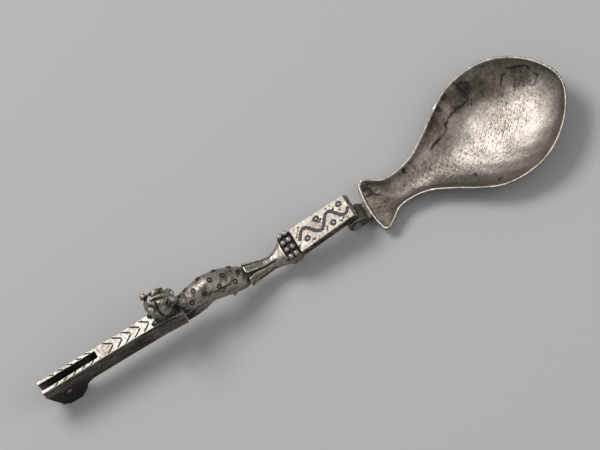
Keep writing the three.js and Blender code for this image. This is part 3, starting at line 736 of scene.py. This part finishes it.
def collar_shape(points, normals):
    """Dark between the beads."""
    flat = np.clip(normals[:, 2] - 0.4, 0, 0.6)
    return np.zeros(len(points)), 1.1 * flat + 0.2


def bead_shape(points, normals):
    """Painted shade at the foot, where the bead turns down; the top is left bright."""
    return np.zeros(len(points)), 0.8 * np.clip(0.45 - normals[:, 2], 0, 1)


def block_shape(points, normals):
    """A top with a few worn patches, and painted shade on the sides."""
    # Painted shade: faces that turn away from straight up are darkened.
    side = np.clip(0.75 - normals[:, 2], 0, 1)
    patches = np.clip(ripple(points, 1.6, 5), 0, 1) * np.clip(ripple(points, 5.5, 2), 0, 1)
    return -0.03 * patches, 0.5 * side + 0.5 * patches


def bar_shape(points, normals):
    """Dark chevrons, painted shade with streaks on the sides, and a corroded hoof."""
    top = np.clip(normals[:, 2], 0, 1)
    half = 2.05 + 0.9 * np.clip((points[:, 0] + 52.15) / 15, 0, 1)
    below_top = BAR_TOP - points[:, 2]
    groove = (below_top < 0.9) & (below_top > 0.1) & (np.abs(points[:, 1]) < half - 0.12)
    front = np.clip((points[:, 0] + 50) / 12, 0, 1)
    hoof = np.clip((-66 - points[:, 0]) / 6, 0, 1) * np.clip((9 - points[:, 2]) / 4, 0, 1)
    streak = np.clip(ripple(points * (0.35, 1, 1.4), 2.6, 3), 0, 1)
    side = 1 - top
    # Painted shade: the sides are darkened, less towards the front, and the real streaks add to it.
    stain_and_shade = side * (0.26 - 0.2 * front + 0.1 * streak) + 0.75 * groove + 0.4 * hoof
    return -0.1 * streak * side * (0.2 + hoof), stain_and_shade


class SPOON_OT_bowl(bpy.types.Operator):
    """Makes the dished bowl with its cracks and stains"""

    bl_idname = "spoon.bowl"
    bl_label = "Bowl"

    def execute(self, context):
        make_bowl(silver_material("silver_bowl_pitted", 0.24, 0.29, 0.9))
        return {"FINISHED"}


class SPOON_OT_tang(bpy.types.Operator):
    """Makes the fork under the bowl"""

    bl_idname = "spoon.tang"
    bl_label = "Tang"

    def execute(self, context):
        worn_copy("bowl_tang", BOWL, silver_material("silver_tarnished", 0.5, 0.45), 0.12, 3)
        return {"FINISHED"}


class SPOON_OT_front_end(bpy.types.Operator):
    """Makes the block, the beaded collar and the calyx"""

    bl_idname = "spoon.front_end"
    bl_label = "Block, collar and calyx"

    def execute(self, context):
        bright = silver_material("silver_rubbed_bright", 0.27, 0.42, 0.8)
        worn = silver_material("silver_worn_front", 0.27, 0.33, 0.6)
        worn_copy("front_block", HANDLE, bright, 0.12, 3, block_shape)
        worn_copy("bead_collar", HANDLE, worn, 0.12, 4, collar_shape)
        worn_copy("calyx", HANDLE, worn, 0.11, 4, calyx_shape)
        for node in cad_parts:
            if node.startswith("bead_") and node != "bead_collar":
                worn_copy(node, HANDLE, worn, 0.1, 4, bead_shape)
        return {"FINISHED"}


class SPOON_OT_leopard(bpy.types.Operator):
    """Makes the leopard's body and head"""

    bl_idname = "spoon.leopard"
    bl_label = "Leopard"

    def execute(self, context):
        worn = silver_material("silver_worn_leopard", 0.27, 0.33, 0.6)
        worn_copy("leopard_body", HANDLE, worn, 0.13, 6, leopard_body_shape, leopard_body_solids())
        worn_copy("leopard_head", HANDLE, worn, 0.11, 3, leopard_head_shape, leopard_head_solids())
        return {"FINISHED"}


class SPOON_OT_bar(bpy.types.Operator):
    """Makes the bar with its hoof"""

    bl_idname = "spoon.bar"
    bl_label = "Bar"

    def execute(self, context):
        worn_copy("rear_bar", HANDLE, silver_material("silver_worn_bar", 0.27, 0.33, 0.6), 0.14, 2, bar_shape)
        return {"FINISHED"}


class SPOON_OT_finish(bpy.types.Operator):
    """Gives the inlays and pins their finish"""

    bl_idname = "spoon.finish"
    bl_label = "Finish of inlays and pins"

    def execute(self, context):
        dark = silver_material("silver_pin_dark", 0.55, 0.45)
        black = niello_material()
        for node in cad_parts:
            dress(node, black if "inlay" in node else dark)
        return {"FINISHED"}


# Stage, in metres
CAMERA_ELEVATION = math.radians(60)
CAMERA_ROLL = math.radians(31.2)  # how steeply the handle rises across the picture
PICTURE_WIDTH = 158.3 * MM  # width of the photographed field at the spoon
CAMERA_DISTANCE = 3.0
AIM = Vector((0.26, 7.1, 0)) * MM
AIM_LIFT = 1.32 * MM
FLOOR_HALF = 1.5


class SPOON_OT_stage(bpy.types.Operator):
    """Makes the camera, the pale floor and the lamps"""

    bl_idname = "spoon.stage"
    bl_label = "Stage"

    def execute(self, context):
        make_camera()
        make_floor()
        make_lamps()
        return {"FINISHED"}


def make_camera():
    """Looks down on the spoon from its near side, with the handle rising across the picture."""
    back = Vector((0, -math.cos(CAMERA_ELEVATION), math.sin(CAMERA_ELEVATION)))
    level_up = Vector((0, math.sin(CAMERA_ELEVATION), math.cos(CAMERA_ELEVATION)))
    along = Vector((1, 0, 0))
    right = along * math.cos(CAMERA_ROLL) - level_up * math.sin(CAMERA_ROLL)
    up = along * math.sin(CAMERA_ROLL) + level_up * math.cos(CAMERA_ROLL)
    data = bpy.data.cameras.new("camera")
    data.sensor_width = 36
    data.lens = data.sensor_width * CAMERA_DISTANCE / PICTURE_WIDTH
    camera = bpy.data.objects.new("camera", data)
    bpy.context.scene.collection.objects.link(camera)
    turn = Matrix((right, up, back)).transposed()
    camera.matrix_world = Matrix.Translation(AIM + up * AIM_LIFT + back * CAMERA_DISTANCE) @ turn.to_4x4()
    bpy.context.scene.camera = camera


def make_floor():
    """A sheet of pale matt card."""
    half = FLOOR_HALF
    mesh = bpy.data.meshes.new("floor")
    corners = [(-half, -half, 0), (half, -half, 0), (half, half, 0), (-half, half, 0)]
    mesh.from_pydata(corners, [], [(0, 1, 2, 3)])
    floor = bpy.data.objects.new("floor", mesh)
    bpy.context.scene.collection.objects.link(floor)
    material = bpy.data.materials.new("pale_card")
    material.use_nodes = True
    shader = material.node_tree.nodes["Principled BSDF"]
    shader.inputs["Base Color"].default_value = linear(bpy.context.scene.spoon_colours.card)
    shader.inputs["Roughness"].default_value = 0.9
    mesh.materials.append(material)


def add_lamp(name, place, size, energy):
    """A square lamp that faces the spoon's middle."""
    data = bpy.data.lights.new(name, "AREA")
    data.size = size
    data.energy = energy
    lamp = bpy.data.objects.new(name, data)
    lamp.location = place
    lamp.rotation_euler = (-Vector(place)).to_track_quat("-Z", "Y").to_euler()
    bpy.context.scene.collection.objects.link(lamp)


def make_lamps():
    """A key from beyond, a weak fill from the near side, and soft light all round."""
    add_lamp("key", (-0.24, 0.5, 0.86), 0.5, 7.2)
    add_lamp("fill", (0.6, -0.5, 0.7), 0.8, 3)
    world = bpy.data.worlds.new("world")
    world.use_nodes = True
    background = world.node_tree.nodes["Background"]
    background.inputs["Color"].default_value = linear(bpy.context.scene.spoon_colours.room)
    background.inputs["Strength"].default_value = 0.62
    bpy.context.scene.world = world


class SPOON_PT_panel(bpy.types.Panel):
    """Lists the steps, the sizes and the colours"""

    bl_idname = "SPOON_PT_panel"
    bl_label = "Folding spoon"
    bl_space_type = "VIEW_3D"
    bl_region_type = "UI"
    bl_category = "Spoon"

    def draw(self, context):
        for operator in OPERATORS:
            self.layout.operator(operator.bl_idname)
        for group in (context.scene.spoon_sizes, context.scene.spoon_colours):
            for name in type(group).__annotations__:
                self.layout.prop(group, name)


OPERATORS = [
    SPOON_OT_finish, SPOON_OT_bowl, SPOON_OT_tang, SPOON_OT_front_end, SPOON_OT_leopard, SPOON_OT_bar,
    SPOON_OT_stage,
]
CLASSES = [SpoonColours, SpoonSizes, *OPERATORS, SPOON_PT_panel]


def register():
    for cls in CLASSES:
        bpy.utils.register_class(cls)
    bpy.types.Scene.spoon_colours = bpy.props.PointerProperty(type=SpoonColours)
    bpy.types.Scene.spoon_sizes = bpy.props.PointerProperty(type=SpoonSizes)


def unregister():
    del bpy.types.Scene.spoon_sizes
    del bpy.types.Scene.spoon_colours
    for cls in reversed(CLASSES):
        bpy.utils.unregister_class(cls)


def main():
    register()
    bpy.ops.spoon.finish()
    bpy.ops.spoon.bowl()
    bpy.ops.spoon.tang()
    bpy.ops.spoon.front_end()
    bpy.ops.spoon.leopard()
    bpy.ops.spoon.bar()
    bpy.ops.spoon.stage()
    bpy.context.scene.view_settings.view_transform = "Standard"


if __name__ == "__main__":
    main()
